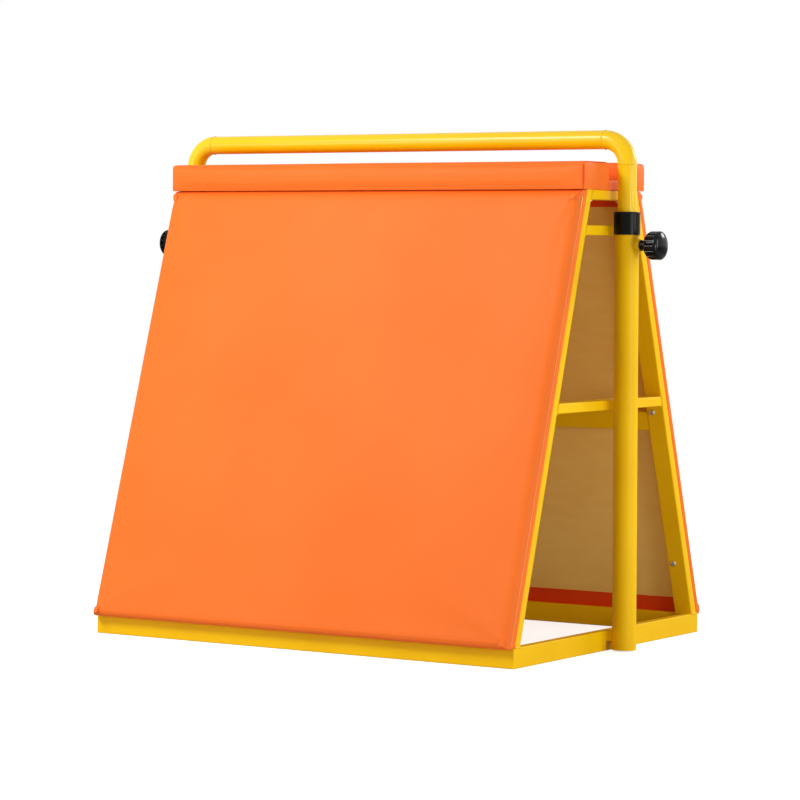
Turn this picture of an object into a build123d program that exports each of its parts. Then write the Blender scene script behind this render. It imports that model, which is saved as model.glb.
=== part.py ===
"""A-frame incline for a children's gym: two padded boards on a welded steel frame,
with padded rolls along the ridge and a height-adjustable bar over them.

Sizes are in millimetres. +X runs along the ridge to the right, +Y to the rear and +Z up.
The origin is on the floor, under the middle of the frame.
"""

import os
from math import cos, radians, sin, tan

from build123d import *

os.makedirs("parts", exist_ok=True)

# Steel frame, all of one rectangular tube
frame_width = 1000.0
base_depth = 750.0
frame_height = 917.0
lean = 17.0
stock_wide = 40.0
stock_thin = 20.0
stock_wall = 1.5
stock_inner_corner = 1.0
leg_setback = 4.5
mid_rung_top = 498.5
upper_rung_drop = 70.5
cross_member_start = 410.0

# Padded boards on the two slopes
plywood = 12.0
slope_foam = 16.0
vinyl = 1.0
pad_round = 12.0
board_top_gap = 1.0
end_hem = 32.0
side_hem = 12.0

# Padded ridge unit
ridge_overhang = 2.5
ridge_depth = 248.0
ridge_board = 18.0
roll_foam = 40.0
roll_round = 9.0
slot_width = 42.0

# Screws that hold the boards
screw_radius = 2.5
screw_clearance = 0.25
screw_head_radius = 6.0
screw_head_height = 4.0
screw_bite = 10.0
recess_length = 6.5
recess_width = 1.6
recess_depth = 2.0
slope_screw_inset = 26.0
slope_screw_start = 117.5
slope_screw_end = 132.5
slope_screw_rows = 3
ridge_screw_inset = 9.231

# Posts and the bar that slides in them
standoff = 8.0
standoff_width = 30.0
post_radius = 24.0
post_wall = 2.5
post_bottom = 3.0
post_rise = 23.5
bar_radius = 19.0
bar_wall = 2.0
bar_over_ridge = 22.0
bend_radius = 50.0
leg_in_post = 450.0
sliding_gap = 0.3
plug_flange = 6.0
plug_depth = 20.0

# Collars on the post tops
collar_wall = 2.5
collar_top = 3.5
collar_skirt = 42.0
collar_liner = 30.0
collar_round = 2.0
liner_gap = 0.1
notch_gap = 1.0

# Clamp knobs, measured outwards from the post's axis
clamp_gap = 9.0
boss_radius = 12.0
boss_face = 32.0
boss_root = 15.0
stud_radius = 5.0
stud_end = 60.0
foot_radius = 4.0
foot_length = 3.0
knob_gap = 1.0
neck_radius = 10.5
neck_length = 12.0
bell_length = 15.0
knob_radius = 28.5
rim_length = 14.5
cap_rise = 10.0
brim = 1.5
flute_count = 16
flute_radius = 3.6

# Worked out from the driving dimensions
stock_corner = stock_inner_corner + stock_wall
rail_height = stock_wide
half_width = frame_width / 2
half_depth = base_depth / 2
lean_sin = sin(radians(lean))
lean_cos = cos(radians(lean))
lean_tan = tan(radians(lean))
leg_x = half_width - stock_wide / 2
leg_foot = half_depth - leg_setback
upper_rung_top = frame_height - upper_rung_drop
top_rung_end = leg_foot - frame_height * lean_tan - stock_thin / lean_cos
ridge_screw_y = top_rung_end - ridge_screw_inset
board_top = frame_height - board_top_gap
board_length = (board_top - rail_height) / lean_cos
pad_thickness = vinyl + plywood + slope_foam + vinyl
slope_screw_x = half_width - slope_screw_inset
slope_screw_pitch = (board_length - slope_screw_start - slope_screw_end) / (slope_screw_rows - 1)
ridge_length = frame_width + 2 * ridge_overhang
ridge_floor = frame_height + 2 * vinyl + ridge_board
roll_depth = (ridge_depth - slot_width) / 2 - 2 * vinyl
post_top = upper_rung_top + post_rise
post_x = half_width + standoff + post_radius
post_bore = post_radius - post_wall
bar_height = ridge_floor + roll_foam + bar_over_ridge + bar_radius
bar_leg_bottom = post_top - leg_in_post
elbow_x = post_x - bend_radius
elbow_z = bar_height - bend_radius
clamp_height = post_top - collar_skirt - clamp_gap - boss_radius
screw_hole = screw_radius + screw_clearance
stud_hole = stud_radius + sliding_gap
foot_start = bar_radius + sliding_gap
stud_start = foot_start + foot_length + sliding_gap
knob_start = boss_face + knob_gap
bell_start = knob_start + neck_length
rim_start = bell_start + bell_length
cap_start = rim_start + rim_length

SIDES = (("left", -1), ("right", 1))
ENDS = (("front", -1), ("rear", 1))


def slope_plane(end, depth=0.0, along=0.0):
    """Plane of the legs' outer faces, facing outwards, with its y axis up the slope."""
    normal = Vector(0, end * lean_cos, lean_sin)
    upwards = Vector(0, -end * lean_sin, lean_cos)
    lower_edge = Vector(0, end * leg_foot, rail_height)
    origin = lower_edge + normal * depth + upwards * along
    return Plane(origin=origin, x_dir=(-end, 0, 0), z_dir=normal)


def outwards(end):
    """Direction in which a slope faces."""
    return Axis((0, 0, 0), (0, end * lean_cos, lean_sin))


def slope_point(end, depth, height):
    """Y and Z of a point at a height, some depth outside the legs' outer faces."""
    inset = (height - rail_height) * lean_tan - depth / lean_cos
    return (end * (leg_foot - inset), height)


def slope_slab(end, inner, outer, bottom, top):
    """Outline in YZ of a slab on the slope, between two depths, with level ends."""
    return [
        slope_point(end, inner, bottom),
        slope_point(end, outer, bottom),
        slope_point(end, outer, top),
        slope_point(end, inner, top),
    ]


def stock_section(plane, across, along):
    """Section of the rectangular tube on a plane."""
    with BuildSketch(plane) as section:
        RectangleRounded(across, along, stock_corner)
        inside = 2 * stock_wall
        RectangleRounded(across - inside, along - inside, stock_inner_corner, mode=Mode.SUBTRACT)
    return section.sketch


def tube_section(plane, radius, wall):
    """Section of a round tube on a plane."""
    with BuildSketch(plane) as section:
        Circle(radius)
        Circle(radius - wall, mode=Mode.SUBTRACT)
    return section.sketch


def mitre(side, end):
    """Upright plane through a corner of the base, along the weld."""
    return Plane(origin=(side * half_width, end * half_depth, 0), z_dir=(side, -end, 0))


def along_x(side, start):
    """Plane across a post's clamp axis, facing away from the frame."""
    return Plane(origin=(side * (post_x + start), 0, clamp_height), x_dir=(0, 0, 1), z_dir=(side, 0, 0))


def upright(side):
    """Plane through a post's axis, with x outwards from the axis and y up."""
    return Plane(origin=(side * post_x, 0, 0), x_dir=(side, 0, 0), z_dir=(0, -side, 0))


slope_screws = [
    (side * slope_screw_x, slope_screw_start + row * slope_screw_pitch)
    for side in (-1, 1)
    for row in range(slope_screw_rows)
]
ridge_screws = [(side * leg_x, row * ridge_screw_y) for side in (-1, 1) for row in (-1, 1)]

# Base: a rectangle of tube on edge, mitred and welded at its corners.
for end_name, end in ENDS:
    with BuildPart() as rail:
        rail_line = Plane(
            origin=(-half_width, end * (half_depth - stock_thin / 2), rail_height / 2),
            x_dir=(0, 1, 0),
            z_dir=(1, 0, 0),
        )
        extrude(stock_section(rail_line, stock_thin, stock_wide), amount=frame_width)
        for _, side in SIDES:
            split(bisect_by=mitre(side, end), keep=Keep.BOTTOM)
    rail.part.label = f"base_{end_name}_rail"
    export_step(rail.part, f"parts/base_{end_name}_rail.step")

for side_name, side in SIDES:
    with BuildPart() as rail:
        rail_line = Plane(
            origin=(side * (half_width - stock_thin / 2), -half_depth, rail_height / 2),
            x_dir=(1, 0, 0),
            z_dir=(0, 1, 0),
        )
        extrude(stock_section(rail_line, stock_thin, stock_wide), amount=base_depth)
        for _, end in ENDS:
            split(bisect_by=mitre(side, end), keep=Keep.TOP)
    rail.part.label = f"base_{side_name}_rail"
    export_step(rail.part, f"parts/base_{side_name}_rail.step")

# Legs: the tube laid flat against the boards, cut level at the base rail and at the top.
for end_name, end in ENDS:
    for side_name, side in SIDES:
        with BuildPart() as leg:
            middle = slope_plane(end, -stock_thin / 2)
            upwards = middle.y_dir
            start = middle.origin - upwards * stock_wide + Vector(side * leg_x, 0, 0)
            leg_line = Plane(origin=start, x_dir=(1, 0, 0), z_dir=upwards)
            extrude(
                stock_section(leg_line, stock_wide, stock_thin),
                amount=(frame_height - rail_height) / lean_cos + 2 * stock_wide,
            )
            split(bisect_by=Plane.XY.offset(rail_height), keep=Keep.TOP)
            split(bisect_by=Plane.XY.offset(frame_height), keep=Keep.BOTTOM)
            with BuildSketch(slope_plane(end, -stock_thin)):
                with Locations(*[place for place in slope_screws if place[0] * -end * side > 0]):
                    Circle(screw_hole)
            extrude(amount=stock_thin, mode=Mode.SUBTRACT)
        leg.part.label = f"{end_name}_{side_name}_leg"
        export_step(leg.part, f"parts/{end_name}_{side_name}_leg.step")

# Rungs: three flat lengths of tube between the legs on each side.
rung_tops = (("mid", mid_rung_top), ("upper", upper_rung_top), ("top", frame_height))
for side_name, side in SIDES:
    for rung_name, rung_top in rung_tops:
        with BuildPart() as rung:
            rung_start = (side * leg_x, -half_depth, rung_top - stock_thin / 2)
            rung_line = Plane(origin=rung_start, x_dir=(1, 0, 0), z_dir=(0, 1, 0))
            extrude(stock_section(rung_line, stock_wide, stock_thin), amount=base_depth)
            for _, end in ENDS:
                split(bisect_by=slope_plane(end, -stock_thin), keep=Keep.BOTTOM)
            if rung_name == "top":
                with BuildSketch(Plane.XY.offset(rung_top)):
                    with Locations(*[place for place in ridge_screws if place[0] * side > 0]):
                        Circle(screw_hole)
                extrude(amount=-stock_thin, mode=Mode.SUBTRACT)
        rung.part.label = f"{side_name}_{rung_name}_rung"
        export_step(rung.part, f"parts/{side_name}_{rung_name}_rung.step")

# Cross members: the tube on edge between the left and right legs, in the plane of the slope.
for end_name, end in ENDS:
    with BuildPart() as cross_member:
        middle = slope_plane(end, -stock_thin / 2, cross_member_start + stock_wide / 2)
        span = frame_width - 2 * stock_wide
        member_line = Plane(
            origin=middle.origin - Vector(span / 2, 0, 0), x_dir=middle.y_dir, z_dir=(1, 0, 0)
        )
        extrude(stock_section(member_line, stock_wide, stock_thin), amount=span)
    cross_member.part.label = f"{end_name}_cross_member"
    export_step(cross_member.part, f"parts/{end_name}_cross_member.step")

# Slope boards: plywood with foam on its outer face and a vinyl cover turned over its back.
for end_name, end in ENDS:
    core_bottom = rail_height + vinyl
    core_top = board_top - vinyl
    core_half = half_width - vinyl
    with BuildPart() as board:
        with BuildSketch(Plane.YZ.offset(-core_half)):
            outline = slope_slab(end, vinyl, vinyl + plywood, core_bottom, core_top)
            Polygon(*outline, align=None)
        extrude(amount=2 * core_half)
        with BuildSketch(slope_plane(end, vinyl)):
            with Locations(*slope_screws):
                Circle(screw_hole)
        extrude(amount=screw_bite, mode=Mode.SUBTRACT)
    board.part.label = f"{end_name}_plywood"
    export_step(board.part, f"parts/{end_name}_plywood.step")

    with BuildPart() as foam:
        with BuildSketch(Plane.YZ.offset(-core_half)):
            outline = slope_slab(end, vinyl + plywood, pad_thickness - vinyl, core_bottom, core_top)
            Polygon(*outline, align=None)
        extrude(amount=2 * core_half)
        face = foam.faces().sort_by(outwards(end))[-1]
        fillet(face.edges(), radius=pad_round)
    foam.part.label = f"{end_name}_foam"
    export_step(foam.part, f"parts/{end_name}_foam.step")

    with BuildPart() as cover:
        with BuildSketch(Plane.YZ.offset(-half_width)):
            Polygon(*slope_slab(end, 0, pad_thickness, rail_height, board_top), align=None)
        extrude(amount=frame_width)
        face = cover.faces().sort_by(outwards(end))[-1]
        fillet(face.edges(), radius=pad_round + vinyl)
        with BuildSketch(Plane.YZ.offset(-core_half)):
            outline = slope_slab(end, vinyl, vinyl + plywood, core_bottom, core_top)
            Polygon(*outline, align=None)
        extrude(amount=2 * core_half, mode=Mode.SUBTRACT)
        add(foam.part, mode=Mode.SUBTRACT)
        with BuildSketch(slope_plane(end, 0, board_length / 2)):
            Rectangle(frame_width - 2 * side_hem, board_length - 2 * end_hem)
        extrude(amount=vinyl, mode=Mode.SUBTRACT)
    cover.part.label = f"{end_name}_cover"
    export_step(cover.part, f"parts/{end_name}_cover.step")

    with BuildPart() as board_screws:
        with BuildSketch(slope_plane(end, -stock_thin)):
            with Locations(*slope_screws):
                Circle(screw_radius)
        extrude(amount=stock_thin + screw_bite)
        with BuildSketch(slope_plane(end, -stock_thin)):
            with Locations(*slope_screws):
                Circle(screw_head_radius)
        extrude(amount=-screw_head_height)
        heads = board_screws.edges().filter_by(GeomType.CIRCLE).group_by(SortBy.RADIUS)[-1]
        rims = heads.sort_by(outwards(end))[: len(slope_screws)]
        fillet(rims, radius=screw_head_height / 2)
        with BuildSketch(slope_plane(end, -stock_thin - screw_head_height)):
            with Locations(*slope_screws):
                Rectangle(recess_length, recess_width)
                Rectangle(recess_width, recess_length)
        extrude(amount=recess_depth, mode=Mode.SUBTRACT)
    board_screws.part.label = f"{end_name}_board_screws"
    export_step(board_screws.part, f"parts/{end_name}_board_screws.step")

# Ridge unit: a plywood base with two foam rolls on it, a slot between them and one vinyl cover.
roll_y = (slot_width + ridge_depth) / 4
ridge_bottom = frame_height + vinyl
inside_depth = ridge_depth - 2 * vinyl
inside_length = ridge_length - 2 * vinyl
with BuildPart() as ridge_base:
    with BuildSketch(Plane.XY.offset(ridge_bottom)):
        Rectangle(inside_length, inside_depth)
    extrude(amount=ridge_board)
    with BuildSketch(Plane.XY.offset(ridge_bottom)):
        with Locations(*ridge_screws):
            Circle(screw_hole)
    extrude(amount=screw_bite, mode=Mode.SUBTRACT)
ridge_base.part.label = "ridge_plywood"
export_step(ridge_base.part, "parts/ridge_plywood.step")

rolls = {}
for end_name, end in ENDS:
    with BuildPart() as roll:
        with BuildSketch(Plane.XY.offset(ridge_bottom + ridge_board)):
            with Locations((0, end * roll_y)):
                Rectangle(inside_length, roll_depth)
        extrude(amount=roll_foam)
        fillet(roll.faces().sort_by(Axis.Z)[-1].edges(), radius=roll_round)
    roll.part.label = f"ridge_{end_name}_foam"
    export_step(roll.part, f"parts/ridge_{end_name}_foam.step")
    rolls[end_name] = roll.part

with BuildPart() as ridge_cover:
    with BuildSketch(Plane.XY.offset(frame_height)):
        Rectangle(ridge_length, ridge_depth)
    extrude(amount=ridge_board + 2 * vinyl)
    with BuildSketch(Plane.XY.offset(ridge_floor)):
        with Locations((0, -roll_y), (0, roll_y)):
            Rectangle(ridge_length, roll_depth + 2 * vinyl)
    extrude(amount=roll_foam)
    fillet(ridge_cover.faces().filter_by(Plane.XY).group_by(Axis.Z)[-1].edges(), radius=roll_round + vinyl)
    with BuildSketch(Plane.XY.offset(ridge_bottom)):
        Rectangle(inside_length, inside_depth)
    extrude(amount=ridge_board, mode=Mode.SUBTRACT)
    for roll_part in rolls.values():
        add(roll_part, mode=Mode.SUBTRACT)
    with BuildSketch(Plane.XY.offset(frame_height)):
        Rectangle(ridge_length - 2 * side_hem, ridge_depth - 2 * end_hem)
    extrude(amount=vinyl, mode=Mode.SUBTRACT)
ridge_cover.part.label = "ridge_cover"
export_step(ridge_cover.part, "parts/ridge_cover.step")

with BuildPart() as roll_screws:
    head_seat = Plane.XY.offset(frame_height - stock_thin)
    with BuildSketch(head_seat):
        with Locations(*ridge_screws):
            Circle(screw_radius)
    extrude(amount=stock_thin + vinyl + screw_bite)
    with BuildSketch(head_seat):
        with Locations(*ridge_screws):
            Circle(screw_head_radius)
    extrude(amount=-screw_head_height)
    rims = roll_screws.edges().filter_by(GeomType.CIRCLE).group_by(Axis.Z)[0]
    fillet(rims, radius=screw_head_height / 2)
    with BuildSketch(head_seat.offset(-screw_head_height)):
        with Locations(*ridge_screws):
            Rectangle(recess_length, recess_width)
            Rectangle(recess_width, recess_length)
    extrude(amount=recess_depth, mode=Mode.SUBTRACT)
roll_screws.part.label = "ridge_screws"
export_step(roll_screws.part, "parts/ridge_screws.step")

# Posts: round tubes welded to the side frames through three spacers, with a weld nut near the top.
for side_name, side in SIDES:
    with BuildPart() as post:
        post_end = Plane(origin=(side * post_x, 0, post_bottom))
        extrude(tube_section(post_end, post_radius, post_wall), amount=post_top - post_bottom)
        with BuildSketch(along_x(side, 0)):
            Circle(stud_hole)
        extrude(amount=post_radius, mode=Mode.SUBTRACT)
    post.part.label = f"{side_name}_post"
    export_step(post.part, f"parts/{side_name}_post.step")

    with BuildPart() as spacers:
        for rung_top in (rail_height, mid_rung_top, upper_rung_top):
            with BuildSketch(Plane.XY.offset(rung_top)):
                with Locations((side * (half_width + post_x) / 2, 0)):
                    Rectangle(post_x - half_width, standoff_width)
            extrude(amount=-stock_thin)
        with BuildSketch(post_end):
            Circle(post_radius)
        extrude(amount=post_top - post_bottom, mode=Mode.SUBTRACT)
    spacers.part.label = f"{side_name}_post_spacers"
    export_step(spacers.part, f"parts/{side_name}_post_spacers.step")

    with BuildPart() as boss:
        with BuildSketch(along_x(side, boss_root)):
            Circle(boss_radius)
        extrude(amount=boss_face - boss_root)
        with BuildSketch(post_end):
            Circle(post_radius)
        extrude(amount=post_top - post_bottom, mode=Mode.SUBTRACT)
        with BuildSketch(along_x(side, boss_root)):
            Circle(stud_hole)
        extrude(amount=boss_face - boss_root, mode=Mode.SUBTRACT)
    boss.part.label = f"{side_name}_weld_nut"
    export_step(boss.part, f"parts/{side_name}_weld_nut.step")

    # Collar: a moulded cap that guides the bar's leg, notched over the upper spacer.
    with BuildPart() as collar:
        with BuildSketch(upright(side)):
            skirt_radius = post_radius + collar_wall
            bore = bar_radius + sliding_gap
            liner_radius = post_bore - liner_gap
            with Locations((bore, post_top)):
                Rectangle(skirt_radius - bore, collar_top, align=(Align.MIN, Align.MIN))
            with Locations((post_radius, post_top)):
                Rectangle(collar_wall, collar_skirt, align=(Align.MIN, Align.MAX))
            with Locations((bore, post_top)):
                Rectangle(liner_radius - bore, collar_liner, align=(Align.MIN, Align.MAX))
        revolve(axis=Axis((side * post_x, 0, 0), (0, 0, 1)))
        crown = collar.edges().filter_by(GeomType.CIRCLE).group_by(Axis.Z)[-1].sort_by(SortBy.RADIUS)[-1]
        fillet(crown, radius=collar_round)
        with BuildSketch(Plane.XY.offset(upper_rung_top + notch_gap)):
            with Locations((side * half_width, 0)):
                Rectangle(2 * (standoff + post_radius), standoff_width + 2 * notch_gap)
        extrude(amount=-stock_thin - notch_gap - collar_skirt, mode=Mode.SUBTRACT)
    collar.part.label = f"{side_name}_collar"
    export_step(collar.part, f"parts/{side_name}_collar.step")

# Bar: a straight tube, two bends and two legs, butt welded into one rigid bar.
with BuildPart() as top_tube:
    tube_end = Plane(origin=(-elbow_x, 0, bar_height), x_dir=(0, 1, 0), z_dir=(1, 0, 0))
    extrude(tube_section(tube_end, bar_radius, bar_wall), amount=2 * elbow_x)
top_tube.part.label = "bar_top_tube"
export_step(top_tube.part, "parts/bar_top_tube.step")

for side_name, side in SIDES:
    with BuildPart() as elbow:
        tube_end = Plane(origin=(side * elbow_x, 0, bar_height), x_dir=(0, 1, 0), z_dir=(side, 0, 0))
        bend_axis = Axis((side * elbow_x, 0, elbow_z), (0, side, 0))
        revolve(tube_section(tube_end, bar_radius, bar_wall), axis=bend_axis, revolution_arc=90)
    elbow.part.label = f"bar_{side_name}_bend"
    export_step(elbow.part, f"parts/bar_{side_name}_bend.step")

    with BuildPart() as bar_leg:
        leg_end = Plane(origin=(side * post_x, 0, bar_leg_bottom))
        extrude(tube_section(leg_end, bar_radius, bar_wall), amount=elbow_z - bar_leg_bottom)
    bar_leg.part.label = f"bar_{side_name}_leg"
    export_step(bar_leg.part, f"parts/bar_{side_name}_leg.step")

    # Glide plug: closes the leg's lower end and guides it in the post.
    with BuildPart() as plug:
        with BuildSketch(Plane(origin=(side * post_x, 0, bar_leg_bottom))):
            Circle(post_bore - sliding_gap)
        extrude(amount=-plug_flange)
        with BuildSketch(Plane(origin=(side * post_x, 0, bar_leg_bottom))):
            Circle(bar_radius - bar_wall)
        extrude(amount=plug_depth)
    plug.part.label = f"bar_{side_name}_glide_plug"
    export_step(plug.part, f"parts/bar_{side_name}_glide_plug.step")

# Clamps: a moulded hand knob on a steel stud, with a foot that stops turning as it grips the bar.
for side_name, side in SIDES:
    with BuildPart() as clamp_foot:
        with BuildSketch(along_x(side, foot_start)):
            Circle(foot_radius)
        extrude(amount=foot_length)
    clamp_foot.part.label = f"{side_name}_clamp_foot"
    export_step(clamp_foot.part, f"parts/{side_name}_clamp_foot.step")

    with BuildPart() as stud:
        with BuildSketch(along_x(side, stud_start)):
            Circle(stud_radius)
        extrude(amount=stud_end - stud_start)
        chamfer(stud.edges(), length=stud_radius - foot_radius)
    stud.part.label = f"{side_name}_clamp_stud"
    export_step(stud.part, f"parts/{side_name}_clamp_stud.step")

    with BuildPart() as knob:
        with BuildSketch(upright(side)):
            with BuildLine():
                neck_top = clamp_height + neck_radius
                Polyline((knob_start, clamp_height), (knob_start, neck_top), (bell_start, neck_top))
                bell_rise = knob_radius - neck_radius
                EllipticalCenterArc((rim_start, neck_top), bell_length, bell_rise, 90, arc_size=90)
                rim_top = clamp_height + knob_radius
                Line((rim_start, rim_top), (cap_start, rim_top))
                EllipticalCenterArc((cap_start, clamp_height), cap_rise, knob_radius, 0, arc_size=90)
                Line((cap_start + cap_rise, clamp_height), (knob_start, clamp_height))
            make_face()
        revolve(axis=Axis((side * post_x, 0, clamp_height), (1, 0, 0)))
        with BuildSketch(along_x(side, bell_start)):
            with PolarLocations(knob_radius, flute_count):
                Circle(flute_radius)
        extrude(amount=cap_start - brim - bell_start, mode=Mode.SUBTRACT)
        with BuildSketch(along_x(side, knob_start)):
            Circle(stud_radius)
        extrude(amount=stud_end - knob_start, mode=Mode.SUBTRACT)
    knob.part.label = f"{side_name}_knob"
    export_step(knob.part, f"parts/{side_name}_knob.step")
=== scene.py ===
"""Padded A-frame incline with a height-adjustable bar, dressed as it is put together.

Lengths are in metres. +X runs along the ridge to the right, +Y to the rear and +Z up.
"""

from math import cos, exp, pi, radians, sin, tan

import bmesh
import bpy
from mathutils import Matrix, Vector


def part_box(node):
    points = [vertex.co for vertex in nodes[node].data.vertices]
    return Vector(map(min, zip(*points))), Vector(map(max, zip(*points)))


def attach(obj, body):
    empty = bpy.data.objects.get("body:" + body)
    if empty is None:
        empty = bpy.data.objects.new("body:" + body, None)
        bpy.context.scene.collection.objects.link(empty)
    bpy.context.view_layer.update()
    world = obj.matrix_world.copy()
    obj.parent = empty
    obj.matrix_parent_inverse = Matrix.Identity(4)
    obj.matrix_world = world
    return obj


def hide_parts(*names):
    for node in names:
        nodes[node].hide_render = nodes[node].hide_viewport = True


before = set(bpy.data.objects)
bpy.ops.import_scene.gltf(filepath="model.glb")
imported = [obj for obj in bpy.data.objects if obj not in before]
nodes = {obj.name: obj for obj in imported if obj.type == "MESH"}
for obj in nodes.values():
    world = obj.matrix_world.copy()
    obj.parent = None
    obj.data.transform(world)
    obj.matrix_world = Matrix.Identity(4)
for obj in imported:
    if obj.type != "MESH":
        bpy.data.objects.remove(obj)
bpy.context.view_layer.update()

SIDES = (("left", -1), ("right", 1))
ENDS = (("front", -1), ("rear", 1))
frame_lean = radians(17)
lean_slope = tan(frame_lean)


# ---------------------------------------------------------------------------
# Shared tools: finishes made of shader nodes, and the making of pieces.
# ---------------------------------------------------------------------------
def blank_material(name):
    """A node material with its shader and its object coordinates."""
    material = bpy.data.materials.new(name)
    material.use_nodes = True
    tree = material.node_tree
    shader = tree.nodes["Principled BSDF"]
    place = tree.nodes.new("ShaderNodeTexCoord").outputs["Object"]
    return material, tree, shader, place


def set_inputs(node, values):
    """Sets a node's plain values by the names of its inputs."""
    for name, value in values.items():
        node.inputs[name].default_value = value


def noise_field(tree, place, scale, detail=2.0, stretch=(1, 1, 1)):
    """A noise pattern fixed to the piece, stretched along chosen axes."""
    mapping = tree.nodes.new("ShaderNodeMapping")
    set_inputs(mapping, {"Scale": stretch})
    tree.links.new(place, mapping.inputs["Vector"])
    field = tree.nodes.new("ShaderNodeTexNoise")
    set_inputs(field, {"Scale": scale, "Detail": detail})
    tree.links.new(mapping.outputs["Vector"], field.inputs["Vector"])
    return field.outputs["Fac"]


def two_tones(tree, field, first, second, low=0.3, high=0.7):
    """Two close colours, mixed by a pattern between its low and high values."""
    ramp = tree.nodes.new("ShaderNodeValToRGB")
    stops = ramp.color_ramp.elements
    for stop, position, colour in zip(stops, (low, high), (first, second)):
        stop.position = position
        stop.color = colour
    tree.links.new(field, ramp.inputs["Fac"])
    return ramp.outputs["Color"]


def spread(tree, field, low, high):
    """A pattern turned into a range of values, such as roughness."""
    values = tree.nodes.new("ShaderNodeMapRange")
    set_inputs(values, {"To Min": low, "To Max": high})
    tree.links.new(field, values.inputs["Value"])
    return values.outputs["Result"]


def relief(tree, shader, field, height, strength, below=None):
    """A fine relief in the surface, laid over a coarser one if there is one."""
    bump = tree.nodes.new("ShaderNodeBump")
    set_inputs(bump, {"Distance": height, "Strength": strength})
    tree.links.new(field, bump.inputs["Height"])
    if below is not None:
        tree.links.new(below, bump.inputs["Normal"])
    tree.links.new(bump.outputs["Normal"], shader.inputs["Normal"])
    return bump.outputs["Normal"]


def calculate(tree, operation, *values):
    """A sum on two values, each a number or the output of another node."""
    node = tree.nodes.new("ShaderNodeMath")
    node.operation = operation
    for socket, value in zip(node.inputs, values):
        if isinstance(value, bpy.types.NodeSocket):
            tree.links.new(value, socket)
        else:
            socket.default_value = value
    return node.outputs[0]


def finish_in(material, *names):
    """Gives CAD pieces a finish."""
    for name in names:
        mesh = nodes[name].data
        mesh.materials.clear()
        mesh.materials.append(material)


def new_object(name, data):
    """Makes an object and puts it in the scene."""
    made = bpy.data.objects.new(name, data)
    bpy.context.scene.collection.objects.link(made)
    return made


def add_piece(name, bm, material, body):
    """Makes a finished mesh piece that moves with a body."""
    bmesh.ops.recalc_face_normals(bm, faces=bm.faces)
    mesh = bpy.data.meshes.new(name)
    bm.to_mesh(mesh)
    bm.free()
    mesh.materials.append(material)
    mesh.shade_smooth()
    piece = new_object(name, mesh)
    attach(piece, body)
    return piece


# ---------------------------------------------------------------------------
# Welded frame. Rectangular steel tube, mitred at the base, with flat legs and
# rungs and two round posts. The whole frame is powder coated yellow in one go,
# so the coat runs over the welds and has a faint orange-peel skin.
# ---------------------------------------------------------------------------
frame_yellow = (0.940, 0.565, 0.004, 1)
frame_yellow_deep = (0.900, 0.515, 0.002, 1)
frame_roughness = (0.34, 0.44)
frame_gloss = 0.12
paint_cloud_scale = 5
paint_pebble_scale = 420
paint_pebble_height = 0.0002
paint_pebble_strength = 0.12


def powder_coat(name, light, deep, roughness, gloss):
    """Baked powder paint on steel: an even colour with a slightly pebbled skin."""
    material, tree, shader, place = blank_material(name)
    cloud = noise_field(tree, place, paint_cloud_scale)
    tree.links.new(two_tones(tree, cloud, light, deep), shader.inputs["Base Color"])
    pebble = noise_field(tree, place, paint_pebble_scale)
    tree.links.new(spread(tree, pebble, *roughness), shader.inputs["Roughness"])
    relief(tree, shader, pebble, paint_pebble_height, paint_pebble_strength)
    set_inputs(shader, {"Specular IOR Level": gloss})
    return material


frame_paint = powder_coat(
    "frame_paint", frame_yellow, frame_yellow_deep, frame_roughness, frame_gloss
)
finish_in(frame_paint, "base_front_rail", "base_rear_rail", "base_left_rail", "base_right_rail")
finish_in(frame_paint, "front_cross_member", "rear_cross_member")
for side_name, _ in SIDES:
    for part in ("mid_rung", "upper_rung", "top_rung", "post", "post_spacers", "weld_nut"):
        finish_in(frame_paint, f"{side_name}_{part}")
    for end_name, _ in ENDS:
        finish_in(frame_paint, f"{end_name}_{side_name}_leg")


# ---------------------------------------------------------------------------
# Weld beads of the frame. Each joint between two tubes is run with a small
# fillet bead, rippled by the torch's steps, and painted over with the frame.
# ---------------------------------------------------------------------------
bead_radius = 0.0019
bead_step = 0.0036
bead_ripple = 0.16
bead_sides = 8
nut_ring_steps = 40


def run_bead(bm, points, radius, closed=False):
    """Runs a rippled bead along a line of points, one ring of vertices a step."""
    rings = []
    last = len(points) - 1
    for index, point in enumerate(points):
        before = points[index - 1] if index or closed else point
        after = points[0 if index == last else index + 1] if index < last or closed else point
        turn = (after - before).to_track_quat("Z", "Y").to_matrix().to_4x4()
        wide = radius * (1 + bead_ripple * (index % 2))
        place = Matrix.Translation(point) @ turn
        made = bmesh.ops.create_circle(bm, segments=bead_sides, radius=wide, matrix=place)
        edges = [edge for vertex in made["verts"] for edge in vertex.link_edges]
        rings.append(list(dict.fromkeys(edges)))
    following = rings[1:] + rings[:1] if closed else rings[1:]
    for ring, after in zip(rings, following):
        bmesh.ops.bridge_loops(bm, edges=ring + after)
    if not closed:
        for ring in (rings[0], rings[-1]):
            bmesh.ops.edgeloop_fill(bm, edges=ring)


def bead_between(bm, start, end):
    """Runs a bead along a straight joint, with its points a torch step apart."""
    start, end = Vector(start), Vector(end)
    steps = max(2, round((end - start).length / bead_step))
    run_bead(bm, [start.lerp(end, index / steps) for index in range(steps + 1)], bead_radius)


def rung_beads(bm, rungs):
    """Beads up the sides of the rungs' ends and under them, where they meet the legs."""
    for low, high in rungs:
        top_y = high.y - (high.z - low.z) * lean_slope
        for _, end in ENDS:
            for x in (low.x, high.x):
                bead_between(bm, (x, end * high.y, low.z), (x, end * top_y, high.z))
            bead_between(bm, (low.x, end * high.y, low.z), (high.x, end * high.y, low.z))


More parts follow.
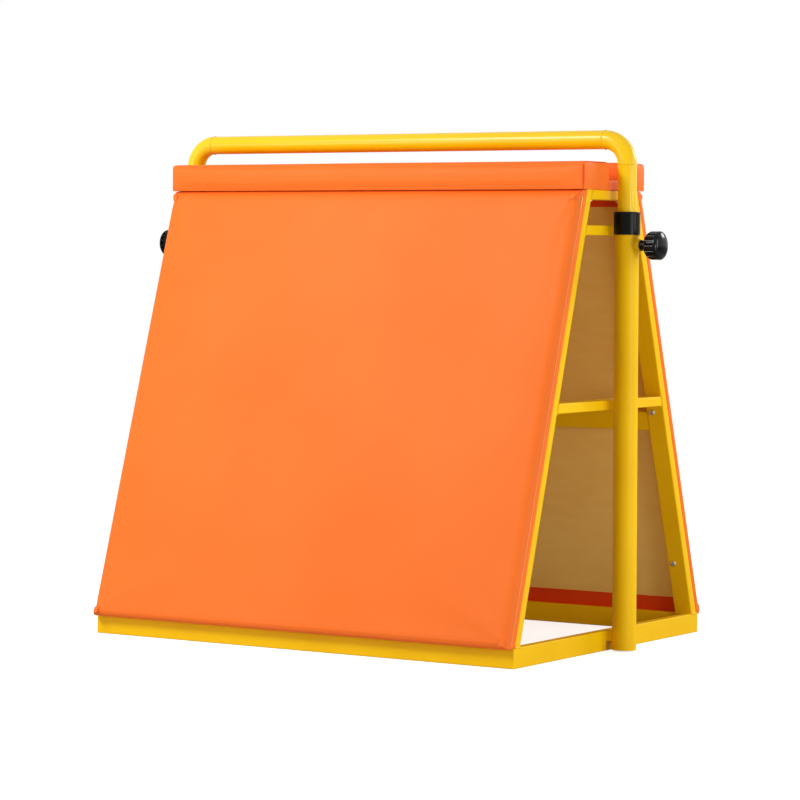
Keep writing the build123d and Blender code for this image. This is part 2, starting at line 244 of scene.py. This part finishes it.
def leg_beads(bm, side_name, tube_thin):
    """Beads round three sides of each leg's foot, on the base."""
    for end_name, end in ENDS:
        low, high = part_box(f"{end_name}_{side_name}_leg")
        outer_y = low.y if end < 0 else high.y
        inner_y = outer_y - end * tube_thin / cos(frame_lean)
        for x in (low.x, high.x):
            bead_between(bm, (x, outer_y, low.z), (x, inner_y, low.z))
        bead_between(bm, (low.x, inner_y, low.z), (high.x, inner_y, low.z))


def spacer_beads(bm, side_name, side, spaced_rungs, tube_thin):
    """Beads round the post's spacers, where they meet the base and two of the rungs."""
    low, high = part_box(f"{side_name}_post_spacers")
    rail_low, rail_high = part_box(f"base_{side_name}_rail")
    side_x = side * max(abs(rail_low.x), abs(rail_high.x))
    for top in (rail_high.z, *(rung_high.z for _, rung_high in spaced_rungs)):
        for z in (top, top - tube_thin):
            bead_between(bm, (side_x, low.y, z), (side_x, high.y, z))
        for y in (low.y, high.y):
            bead_between(bm, (side_x, y, top - tube_thin), (side_x, y, top))


def nut_bead(bm, side_name, side):
    """A bead round the weld nut that follows the post's curve."""
    post_low, post_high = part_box(f"{side_name}_post")
    post_axis = (post_low.x + post_high.x) / 2
    post_radius = (post_high.x - post_low.x) / 2
    nut_low, nut_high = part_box(f"{side_name}_weld_nut")
    nut_z = (nut_low.z + nut_high.z) / 2
    nut_radius = (nut_high.z - nut_low.z) / 2
    ring = []
    for index in range(nut_ring_steps):
        angle = 2 * pi * index / nut_ring_steps
        y = nut_radius * cos(angle)
        x = (post_radius**2 - y**2) ** 0.5
        ring.append(Vector((post_axis + side * x, y, nut_z + nut_radius * sin(angle))))
    run_bead(bm, ring, bead_radius, closed=True)


for side_name, side in SIDES:
    rungs = [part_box(f"{side_name}_{level}_rung") for level in ("mid", "upper", "top")]
    tube_thin = rungs[-1][1].z - rungs[-1][0].z
    weld = bmesh.new()
    rung_beads(weld, rungs)
    leg_beads(weld, side_name, tube_thin)
    spacer_beads(weld, side_name, side, rungs[:-1], tube_thin)
    nut_bead(weld, side_name, side)
    add_piece(f"{side_name}_frame_welds", weld, frame_paint, "frame")


# ---------------------------------------------------------------------------
# Plywood. Birch boards under the pads, raw inside the frame, with long soft
# grain and a few darker streaks.
# ---------------------------------------------------------------------------
birch_pale = (0.990, 0.670, 0.200, 1)
birch_dark = (0.920, 0.560, 0.140, 1)
birch_stretch = (0.22, 1, 1)
birch_broad_scale = 2.4
birch_fine_scale = 60
birch_fine_share = 0.3
birch_tone_range = (0.36, 0.62)
birch_pore_height = 0.0003
birch_pore_strength = 0.2
birch_shine = {"Roughness": 0.62, "Specular IOR Level": 0.2}


def birch_veneer(name):
    """Rotary-cut birch veneer: cloudy broad grain with fine pores along it."""
    material, tree, shader, place = blank_material(name)
    broad = noise_field(tree, place, birch_broad_scale, detail=5.0, stretch=birch_stretch)
    fine = noise_field(tree, place, birch_fine_scale, detail=3.0, stretch=birch_stretch)
    mix = tree.nodes.new("ShaderNodeMix")
    set_inputs(mix, {"Factor": birch_fine_share})
    tree.links.new(broad, mix.inputs["A"])
    tree.links.new(fine, mix.inputs["B"])
    tones = two_tones(tree, mix.outputs["Result"], birch_dark, birch_pale, *birch_tone_range)
    tree.links.new(tones, shader.inputs["Base Color"])
    relief(tree, shader, fine, birch_pore_height, birch_pore_strength)
    set_inputs(shader, birch_shine)
    return material


finish_in(birch_veneer("birch"), "front_plywood", "rear_plywood", "ridge_plywood")


# ---------------------------------------------------------------------------
# Screws. Zinc plated pan heads with a cross recess, driven through the legs
# and the top rungs into the plywood. The clamp studs are plated the same way.
# ---------------------------------------------------------------------------
zinc_dull = (0.62, 0.63, 0.66, 1)
zinc_bright = (0.80, 0.80, 0.79, 1)
zinc_roughness = (0.22, 0.38)
zinc_cloud_scale = 260


def zinc_plate(name):
    """Bright zinc over steel, with cloudy patches and a brushed sheen."""
    material, tree, shader, place = blank_material(name)
    cloud = noise_field(tree, place, zinc_cloud_scale)
    tree.links.new(two_tones(tree, cloud, zinc_dull, zinc_bright), shader.inputs["Base Color"])
    tree.links.new(spread(tree, cloud, *zinc_roughness), shader.inputs["Roughness"])
    set_inputs(shader, {"Metallic": 1.0})
    return material


zinc = zinc_plate("zinc")
finish_in(zinc, "front_board_screws", "rear_board_screws", "ridge_screws")
finish_in(zinc, "left_clamp_stud", "right_clamp_stud")


# ---------------------------------------------------------------------------
# Vinyl covers. One kind of PVC-coated cloth for all three pads, with a deeper red copy of it
# as painted shade on the slope pads' turned hems and along the ridge's sewn corner seams.
# ---------------------------------------------------------------------------
vinyl_light = (0.940, 0.186, 0.022, 1)
vinyl_deep = (0.915, 0.168, 0.017, 1)
# A deeper red copy of the vinyl colour: painted shade for the turned hems and the seams'
# grooves.
painted_shade_light = (0.900, 0.075, 0.006, 1)
painted_shade_deep = (0.860, 0.060, 0.005, 1)
vinyl_roughness = (0.50, 0.60)
vinyl_gloss = 0.16
vinyl_cloud_scale = 3.5
vinyl_slack_scale = 7
vinyl_slack_height = 0.003
vinyl_slack_strength = 0.10
vinyl_grain_scale = 750
vinyl_grain_height = 0.0002
vinyl_grain_strength = 0.16
vinyl_thick = 0.001
# Material slot of the painted shade vinyl.
painted_shade_slot = 1
hem_ends = 0.032
hem_sides = 0.012
hem_crease = 0.9
cut_tolerance = 1e-6
flat_tolerance = 1e-5
cloth_frames = 20
cloth_quality = 5
cloth_bending = 0.8


def soft_vinyl(name, light, deep):
    """PVC-coated cloth: even colour, a fine pebble grain and a soft satin sheen."""
    material, tree, shader, place = blank_material(name)
    cloud = noise_field(tree, place, vinyl_cloud_scale, detail=3.0)
    tree.links.new(two_tones(tree, cloud, light, deep), shader.inputs["Base Color"])
    grain = tree.nodes.new("ShaderNodeTexVoronoi")
    set_inputs(grain, {"Scale": vinyl_grain_scale})
    tree.links.new(place, grain.inputs["Vector"])
    tree.links.new(spread(tree, cloud, *vinyl_roughness), shader.inputs["Roughness"])
    slack = noise_field(tree, place, vinyl_slack_scale)
    waves = relief(tree, shader, slack, vinyl_slack_height, vinyl_slack_strength)
    pebbles = grain.outputs["Distance"]
    relief(tree, shader, pebbles, vinyl_grain_height, vinyl_grain_strength, below=waves)
    set_inputs(shader, {"Specular IOR Level": vinyl_gloss})
    return material


vinyl = soft_vinyl("vinyl", vinyl_light, vinyl_deep)
# A darker copy of the vinyl, used as painted shade on hems and seams.
painted_shade_vinyl = soft_vinyl("painted_shade_vinyl", painted_shade_light, painted_shade_deep)


def share(value):
    """A value held between 0 and 1."""
    return min(1, max(0, value))


def bell(distance, width):
    """1 at a place, falling smoothly to nothing a few widths away."""
    return exp(-((distance / width) ** 2))


def grow(distance, reach):
    """0 at a seam, rising smoothly to 1 a few reaches away."""
    return 1 - exp(-distance / reach)


def block(bm, size, middle):
    """A box of a size about a middle."""
    bmesh.ops.create_cube(bm, size=1)
    bmesh.ops.scale(bm, vec=size, verts=bm.verts)
    bmesh.ops.translate(bm, vec=middle, verts=bm.verts)


def round_off(bm, edges, radius, steps):
    """Rounds edges off."""
    bmesh.ops.bevel(
        bm, geom=edges, offset=radius, segments=steps, profile=0.5, affect="EDGES", material=-1
    )


def cut_across(bm, axis, places):
    """Cuts a mesh across one axis, so that the cover can bend there."""
    normal = Vector([1.0 if index == axis else 0.0 for index in range(3)])
    for place in places:
        parts = bm.verts[:] + bm.edges[:] + bm.faces[:]
        bmesh.ops.bisect_plane(
            bm, geom=parts, dist=cut_tolerance, plane_co=normal * place, plane_no=normal
        )


def evenly(low, high, step):
    """Even places between two ends."""
    count = max(1, round((high - low) / step))
    return [low + (high - low) * index / count for index in range(1, count)]


def turn_hem(bm, half_length, half_width, hem_x, hem_y, middle_y):
    """Turns the cover's open back edge inwards, flat on the board, and keeps the fold sharp."""
    crease = bm.edges.layers.float.new("crease_edge")
    fold = [edge for edge in bm.edges if edge.is_boundary]
    made = bmesh.ops.extrude_edge_only(bm, edges=fold)
    for edge in fold:
        edge[crease] = hem_crease
    for vertex in made["geom"]:
        if isinstance(vertex, bmesh.types.BMVert):
            vertex.co.x *= 1 - hem_x / half_length
            vertex.co.y = middle_y + (vertex.co.y - middle_y) * (1 - hem_y / half_width)


def add_cover(name, bm, held):
    """Makes a cover piece, and pins the points that staples, glue or stitches hold."""
    piece = add_piece(name, bm, vinyl, "frame")
    # The second material is the painted shade vinyl for hems and seams.
    piece.data.materials.append(painted_shade_vinyl)
    piece.vertex_groups.new(name="held").add(held, 1.0, "REPLACE")
    return piece


def air(pad, pressure, limit, stiffness):
    """Swells a cover that is held by its pin group, and keeps each point within a limit."""
    cloth = pad.modifiers.new("air", "CLOTH")
    fabric = cloth.settings
    fabric.quality = cloth_quality
    fabric.tension_stiffness = stiffness
    fabric.compression_stiffness = stiffness
    fabric.shear_stiffness = stiffness / 3
    fabric.bending_stiffness = cloth_bending
    fabric.use_pressure = True
    fabric.uniform_pressure_force = pressure
    fabric.vertex_group_mass = "held"
    fabric.effector_weights.gravity = 0
    cloth.point_cache.frame_start = 1
    cloth.point_cache.frame_end = cloth_frames
    for step in range(1, cloth_frames + 1):
        bpy.context.scene.frame_set(step)
    evaluated = pad.evaluated_get(bpy.context.evaluated_depsgraph_get())
    moved = [vertex.co.copy() for vertex in evaluated.data.vertices]
    pad.modifiers.remove(cloth)
    bpy.context.scene.frame_set(1)
    for vertex, place in zip(pad.data.vertices, moved):
        shift = place - vertex.co
        if shift.length > limit:
            shift = shift.normalized() * limit
        vertex.co = vertex.co + shift


def smooth_skin(pad):
    """Finishes a cover: one subdivision, then the cloth's own thickness on its inside."""
    fine = pad.modifiers.new("fine", "SUBSURF")
    fine.levels = 1
    fine.render_levels = 1
    skin = pad.modifiers.new("skin", "SOLIDIFY")
    skin.thickness = vinyl_thick
    skin.offset = -1


# ---------------------------------------------------------------------------
# Slope pads. A sheet of foam on each board, under one soft orange vinyl cover
# that is pulled round the edges and stapled to the back in a turned hem. The
# cover sags a little over its foot, and is pleated at its top corners.
# ---------------------------------------------------------------------------
pad_depth = 0.030
pad_roll = 0.019
pad_roll_steps = 5
pad_corner = 0.004
pad_corner_steps = 3
pad_mesh = 0.0135
pad_edge_mesh = 0.005
pad_edge_zone = 0.030
pad_pressure = 3.0
pad_swell_limit = 0.0022
pad_stiffness = 25
stapled_depth = 0.005
board_depth = 0.016
wall_puff = 0.0006
belly_drop = 0.0055
belly_reach = 0.022
belly_start = 0.006
belly_rise = belly_reach / 2
pleat_depth = 0.0022
pleat_from_top = 0.020
pleat_width = 0.005
pleat_lip = 0.7
pleat_lip_from_top = 0.010
pleat_lip_width = 0.004
pleat_side_reach = 0.010
pleat_start = 0.008


def slope_shell(half, length):
    """One sloping cover, flat on its back: its rolled face, its walls and its turned hem."""
    shell = bmesh.new()
    block(shell, (2 * half, length, pad_depth), (0, length / 2, pad_depth / 2))
    for vertex in shell.verts:
        vertex.co.y -= vertex.co.z * lean_slope
    ends = [(edge, edge.verts[0].co.z - edge.verts[1].co.z) for edge in shell.edges]
    corners = [edge for edge, rise in ends if abs(rise) > pad_depth / 2]
    round_off(shell, corners, pad_corner, pad_corner_steps)
    face = max(shell.faces, key=lambda face: face.calc_center_median().z)
    round_off(shell, list(face.edges), pad_roll, pad_roll_steps)
    back = min(shell.faces, key=lambda face: face.calc_center_median().z)
    bmesh.ops.delete(shell, geom=[back], context="FACES_ONLY")
    turn_hem(shell, half, length / 2, hem_sides, hem_ends, length / 2)
    zone, fine = pad_edge_zone, pad_edge_mesh
    cut_across(shell, 0, evenly(-half, half, pad_mesh))
    cut_across(shell, 1, evenly(-pad_depth * lean_slope, length, pad_mesh))
    cut_across(shell, 0, evenly(-half, zone - half, fine) + evenly(half - zone, half, fine))
    cut_across(shell, 1, evenly(0, zone, fine) + evenly(length - zone, length, fine))
    cut_across(shell, 2, [vinyl_thick, stapled_depth])
    shell.verts.index_update()
    # The turned hem gets the painted shade vinyl: a deeper red that stands for the shade inside
    # the frame.
    for face in shell.faces:
        face.material_index = painted_shade_slot if face.calc_center_median().z < flat_tolerance else 0
    return shell


def fit_slope_cover(piece, flat_places, half, length):
    """Keeps a swelled cover's walls off the board, lets its foot sag and pleats its corners."""
    for vertex, flat in zip(piece.data.vertices, flat_places):
        x, y, z = vertex.co
        if vinyl_thick / 2 < flat.z < board_depth:
            least = wall_puff * min(1, flat.z / stapled_depth)
            if abs(flat.x) > half - pad_corner:
                x = max(abs(x), abs(flat.x) + least) * (1 if flat.x > 0 else -1)
            if flat.y + flat.z * lean_slope < pad_corner:
                y = min(y, flat.y - least)
            if length - flat.y - flat.z * lean_slope < pad_corner:
                y = max(y, flat.y + least)
        from_foot = y + z * lean_slope
        y -= belly_drop * share((z - belly_start) / belly_rise) * bell(from_foot, belly_reach)
        from_top = length - y - z * lean_slope
        from_side = half - abs(x)
        pleat = bell(from_top - pleat_from_top, pleat_width)
        pleat -= pleat_lip * bell(from_top - pleat_lip_from_top, pleat_lip_width)
        pleat *= bell(from_side, pleat_side_reach) * share((z - pleat_start) / pleat_start)
        x -= pleat_depth * pleat * (1 if x > 0 else -1)
        vertex.co = (x, y, z)


def slope_pad(end_name, end):
    """One sloping pad, made flat on its back and then stood against its legs."""
    low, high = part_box(f"{end_name}_cover")
    leg_low, leg_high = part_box(f"{end_name}_right_leg")
    length = (high.z - low.z) / cos(frame_lean)
    half = (high.x - low.x) / 2
    shell = slope_shell(half, length)
    held = [v.index for v in shell.verts if v.co.z < stapled_depth + flat_tolerance]
    flat_places = [vertex.co.copy() for vertex in shell.verts]
    piece = add_cover(f"{end_name}_pad_cover", shell, held)
    air(piece, pad_pressure, pad_swell_limit, pad_stiffness)
    fit_slope_cover(piece, flat_places, half, length)
    normal = Vector((0, end * cos(frame_lean), sin(frame_lean)))
    upwards = Vector((0, -end * sin(frame_lean), cos(frame_lean)))
    stand = Matrix((Vector((-end, 0, 0)), upwards, normal)).transposed().to_4x4()
    stand.translation = Vector((0, leg_low.y if end < 0 else leg_high.y, leg_low.z))
    piece.data.transform(stand)
    smooth_skin(piece)
    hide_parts(f"{end_name}_cover", f"{end_name}_foam")


for end_name, end in ENDS:
    slope_pad(end_name, end)


# ---------------------------------------------------------------------------
# Ridge pad. Two firm foam rolls on a board, under one sewn vinyl cover with a
# slot between them for the bar. Seams run down its corners, and its panels
# bulge a little between them. The cover is stapled under the board.
# ---------------------------------------------------------------------------
ridge_low, ridge_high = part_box("ridge_cover")
roll_low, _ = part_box("ridge_rear_foam")
slot_half = roll_low.y - vinyl_thick
slot_floor = roll_low.z
roll_top_round = 0.010
roll_top_steps = 4
ridge_mesh = 0.0098
ridge_pressure = 6.0
ridge_swell_limit = 0.0035
ridge_stiffness = 15
seam_cuts = (0.0018, 0.0034, 0.0060)
seam_width = seam_cuts[0]
seam_tolerance = 5e-4
edge_tolerance = 1e-4
slot_margin = 1e-3
seam_bulge = 0.0022
seam_reach = 0.0035
tuck_height = 0.0030
tuck_size = 0.0055
tuck_from_end = 0.009
tuck_from_base = 0.007
crown_rise = 0.0010
roll_sag = 0.0050


def ridge_shell():
    """The ridge's cover: its base, its two raised rolls and its turned hem."""
    shell = bmesh.new()
    size = (2 * ridge_high.x, 2 * ridge_high.y, slot_floor - ridge_low.z)
    block(shell, size, (0, 0, (slot_floor + ridge_low.z) / 2))
    cut_across(shell, 1, (-slot_half, slot_half))
    tops = []
    bottoms = []
    for face in shell.faces:
        middle = face.calc_center_median()
        if middle.z > slot_floor - edge_tolerance and abs(middle.y) > slot_half:
            tops.append(face)
        if middle.z < ridge_low.z + edge_tolerance:
            bottoms.append(face)
    raised = bmesh.ops.extrude_discrete_faces(shell, faces=tops)["faces"]
    for face in raised:
        bmesh.ops.translate(shell, vec=(0, 0, ridge_high.z - slot_floor), verts=face.verts)
    roll_edges = dict.fromkeys(edge for face in raised for edge in face.edges)
    long_edges = [edge for edge in roll_edges if edge.calc_length() > ridge_high.x]
    bmesh.ops.delete(shell, geom=bottoms, context="FACES")
    round_off(shell, long_edges, roll_top_round, roll_top_steps)
    turn_hem(shell, ridge_high.x, ridge_high.y, hem_sides, hem_ends, 0)
    for axis in range(3):
        cut_across(shell, axis, evenly(ridge_low[axis], ridge_high[axis], ridge_mesh))
    for sign in (-1, 1):
        cut_across(shell, 0, [sign * (ridge_high.x - cut) for cut in seam_cuts])
        cut_across(shell, 1, [sign * (ridge_high.y - cut) for cut in seam_cuts])
    cut_across(shell, 2, [ridge_low.z + seam_width, ridge_high.z - seam_width])
    many_sided = [face for face in shell.faces if len(face.verts) > 4]
    bmesh.ops.triangulate(shell, faces=many_sided)
    shell.verts.index_update()
    # Faces along the corner seams get the painted shade vinyl: a dark line standing for the
    # shade in the seam's groove.
    for face in shell.faces:
        middle = face.calc_center_median()
        by_end = ridge_high.x - abs(middle.x) < seam_width
        by_face = ridge_high.y - abs(middle.y) < seam_width
        by_top = ridge_high.z - middle.z < seam_width
        face.material_index = painted_shade_slot if by_end and (by_face or by_top) else 0
    return shell


def sewn(place):
    """True on the cover's seams, on its base and on the slot's walls."""
    at_end = abs(abs(place.x) - ridge_high.x) < seam_tolerance
    at_face = abs(abs(place.y) - ridge_high.y) < seam_tolerance
    at_top = place.z > ridge_high.z - seam_tolerance
    at_slot = abs(place.y) < slot_half + seam_tolerance
    at_base = place.z < ridge_low.z + seam_width + edge_tolerance
    return (at_end and (at_face or at_top)) or at_slot or at_base


def fit_ridge_cover(piece, rest_places):
    """Bulges the panels out between their seams, thickens the corner tucks, lowers the rolls."""
    for vertex, rest in zip(piece.data.vertices, rest_places):
        to_end = ridge_high.x - abs(rest.x)
        to_face = ridge_high.y - abs(rest.y)
        to_top = ridge_high.z - rest.z
        above_base = rest.z - ridge_low.z
        out_x = 1 if rest.x > 0 else -1
        out_y = 1 if rest.y > 0 else -1
        bulge = seam_bulge * share((above_base - seam_width) / hem_sides)
        if to_end < edge_tolerance and abs(rest.y) > slot_half + slot_margin:
            bulge_x = bulge * grow(max(0, to_top), seam_reach) * grow(to_face, seam_reach)
            vertex.co.x += out_x * bulge_x
        if to_face < edge_tolerance:
            vertex.co.y += out_y * bulge * grow(to_end, seam_reach)
            tuck = bell(to_end - tuck_from_end, tuck_size)
            tuck *= bell(above_base - tuck_from_base, tuck_size)
            vertex.co.y += out_y * tuck_height * tuck
        raised_part = max(0, (rest.z - slot_floor) / (ridge_high.z - slot_floor))
        vertex.co.z = min(vertex.co.z, rest.z + crown_rise) - roll_sag * raised_part


ridge = ridge_shell()
rest_places = [vertex.co.copy() for vertex in ridge.verts]
sewn_points = [vertex.index for vertex in ridge.verts if sewn(vertex.co)]
ridge_pad = add_cover("ridge_pad_cover", ridge, sewn_points)
air(ridge_pad, ridge_pressure, ridge_swell_limit, ridge_stiffness)
fit_ridge_cover(ridge_pad, rest_places)
smooth_skin(ridge_pad)
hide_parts("ridge_cover", "ridge_front_foam", "ridge_rear_foam")


# ---------------------------------------------------------------------------
# Collars, glide plugs and clamp feet. Injection-moulded black nylon with a
# fine spark-eroded texture that dulls its shine.
# ---------------------------------------------------------------------------
nylon_black = (0.004, 0.0035, 0.003, 1)
mould_grain_scale = 1500
mould_grain_height = 0.0001


def moulded(name, colour, roughness, gloss, texture):
    """Moulded plastic, with the mould's own fine texture."""
    material, tree, shader, place = blank_material(name)
    set_inputs(shader, {"Base Color": colour, "Specular IOR Level": gloss})
    grain = noise_field(tree, place, mould_grain_scale)
    tree.links.new(spread(tree, grain, *roughness), shader.inputs["Roughness"])
    relief(tree, shader, grain, mould_grain_height, texture)
    return material


nylon = moulded("nylon", nylon_black, roughness=(0.22, 0.34), gloss=0.12, texture=0.2)
for side_name, _ in SIDES:
    plug = f"bar_{side_name}_glide_plug"
    finish_in(nylon, f"{side_name}_collar", f"{side_name}_clamp_foot", plug)


# ---------------------------------------------------------------------------
# Bar. Round steel tube: a straight top, two bends and two legs, butt welded
# and coated a glossier yellow than the frame.
# ---------------------------------------------------------------------------
bar_yellow = (0.960, 0.610, 0.004, 1)
bar_yellow_deep = (0.935, 0.570, 0.003, 1)
bar_roughness = (0.20, 0.30)
bar_gloss = 0.28
seam_bead = 0.0012
bar_paint = powder_coat("bar_paint", bar_yellow, bar_yellow_deep, bar_roughness, bar_gloss)
finish_in(bar_paint, "bar_top_tube")
tube_low, tube_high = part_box("bar_top_tube")
tube_radius = (tube_high.z - tube_low.z) / 2
tube_z = (tube_high.z + tube_low.z) / 2


def seam_ring(middle, across):
    """Points a torch step apart round a butt joint of the tube, always an even number."""
    steps = round(2 * pi * tube_radius / bead_step / 2) * 2
    along_y = Vector((0, 1, 0))
    turns = [2 * pi * index / steps for index in range(steps)]
    return [middle + tube_radius * (across * cos(turn) + along_y * sin(turn)) for turn in turns]


for side_name, side in SIDES:
    finish_in(bar_paint, f"bar_{side_name}_bend", f"bar_{side_name}_leg")
    leg_low, leg_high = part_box(f"bar_{side_name}_leg")
    leg_axis = (leg_low.x + leg_high.x) / 2
    seams = bmesh.new()
    top_joint = seam_ring(Vector((side * tube_high.x, 0, tube_z)), Vector((0, 0, 1)))
    leg_joint = seam_ring(Vector((leg_axis, 0, leg_high.z)), Vector((1, 0, 0)))
    run_bead(seams, top_joint, seam_bead, closed=True)
    run_bead(seams, leg_joint, seam_bead, closed=True)
    add_piece(f"bar_{side_name}_weld_seams", seams, bar_paint, "bar")


# ---------------------------------------------------------------------------
# Clamp knobs. Black phenolic hand knobs, polished by their mould, each with a
# round cap, a fluted bell and a neck over the stud.
# ---------------------------------------------------------------------------
phenolic_black = (0.004, 0.004, 0.004, 1)
phenolic = moulded("phenolic", phenolic_black, roughness=(0.10, 0.22), gloss=0.16, texture=0.05)
finish_in(phenolic, "left_knob", "right_knob")


# ---------------------------------------------------------------------------
# Studio. A pale floor that runs back out of sight, an even pale surround and
# five soft lamps: the key lamp high in front, one at the front left, two at
# the right, and one behind that puts a highlight on the knob.
# ---------------------------------------------------------------------------
white = (1, 1, 1, 1)
floor_grey = (0.60, 0.60, 0.60, 1)
floor_glow = 0.75
floor_half = 30
surround_light = 0.36
surround_seen = 1.0
lamp_target = Vector((0, 0, 0.5))

floor_mesh = bmesh.new()
bmesh.ops.create_grid(floor_mesh, x_segments=2, y_segments=2, size=floor_half)
floor_data = bpy.data.meshes.new("floor")
floor_mesh.to_mesh(floor_data)
floor_mesh.free()
floor = new_object("floor", floor_data)
pale, pale_tree, pale_shader, _ = blank_material("pale_floor")
set_inputs(pale_shader, {"Base Color": floor_grey, "Emission Color": white})
set_inputs(pale_shader, {"Roughness": 0.9, "Specular IOR Level": 0.1})
ray = pale_tree.nodes.new("ShaderNodeLightPath").outputs["Is Camera Ray"]
glow = calculate(pale_tree, "MULTIPLY", ray, floor_glow)
pale_tree.links.new(glow, pale_shader.inputs["Emission Strength"])
floor_data.materials.append(pale)

# The surround is white where it is seen, mirrored or looked at through something,
# and dimmer as a light.
world = bpy.data.worlds.new("surround")
bpy.context.scene.world = world
world.use_nodes = True
surround = world.node_tree
background = surround.nodes["Background"]
set_inputs(background, {"Color": white})
rays = surround.nodes.new("ShaderNodeLightPath").outputs
seen = calculate(surround, "MAXIMUM", rays["Is Camera Ray"], rays["Is Glossy Ray"])
seen = calculate(surround, "MAXIMUM", seen, rays["Is Transmission Ray"])
brightness = spread(surround, seen, surround_light, surround_seen)
surround.links.new(brightness, background.inputs["Strength"])

# Each lamp's name, place, width, height and power in watts.
for name, place, width, height, power in (
    ("key_lamp", (-1.1, -2.4, 2.5), 1.0, 1.0, 72),
    ("left_lamp", (-2.3, -3.5, 1.0), 1.2, 0.8, 22),
    ("side_lamp", (3.4, 0.7, 1.2), 0.5, 1.4, 18),
    ("low_lamp", (3.2, -0.75, 0.5), 0.8, 0.8, 27),
    ("back_lamp", (1.9, 2.8, 2.0), 0.9, 0.9, 40),
):
    lamp_data = bpy.data.lights.new(name, "AREA")
    lamp_data.shape = "RECTANGLE"
    lamp_data.size = width
    lamp_data.size_y = height
    lamp_data.energy = power
    lamp = new_object(name, lamp_data)
    lamp.location = place
    lamp.rotation_euler = (lamp_target - Vector(place)).to_track_quat("-Z", "Y").to_euler()

# The camera stands level with the upper part of the object, far off and to the
# right, and its frame is shifted down to take in the floor.
camera_place = (3.6267, -5.6265, 0.7911)
camera_azimuth = radians(32.84)
camera_roll = radians(0.40)
camera_data = bpy.data.cameras.new("camera")
camera_data.lens = 144.9
camera_data.sensor_width = 36
camera_data.shift_y = -0.1852
camera = new_object("camera", camera_data)
toward = Vector((sin(camera_azimuth), -cos(camera_azimuth), 0))
level_right = Vector((cos(camera_azimuth), sin(camera_azimuth), 0))
right = level_right * cos(camera_roll) + Vector((0, 0, 1)) * sin(camera_roll)
upward = toward.cross(right)
turned = Matrix((right, upward, toward)).transposed().to_4x4()
turned.translation = Vector(camera_place)
camera.matrix_world = turned
bpy.context.scene.camera = camera

bpy.context.scene.view_settings.view_transform = "Standard"
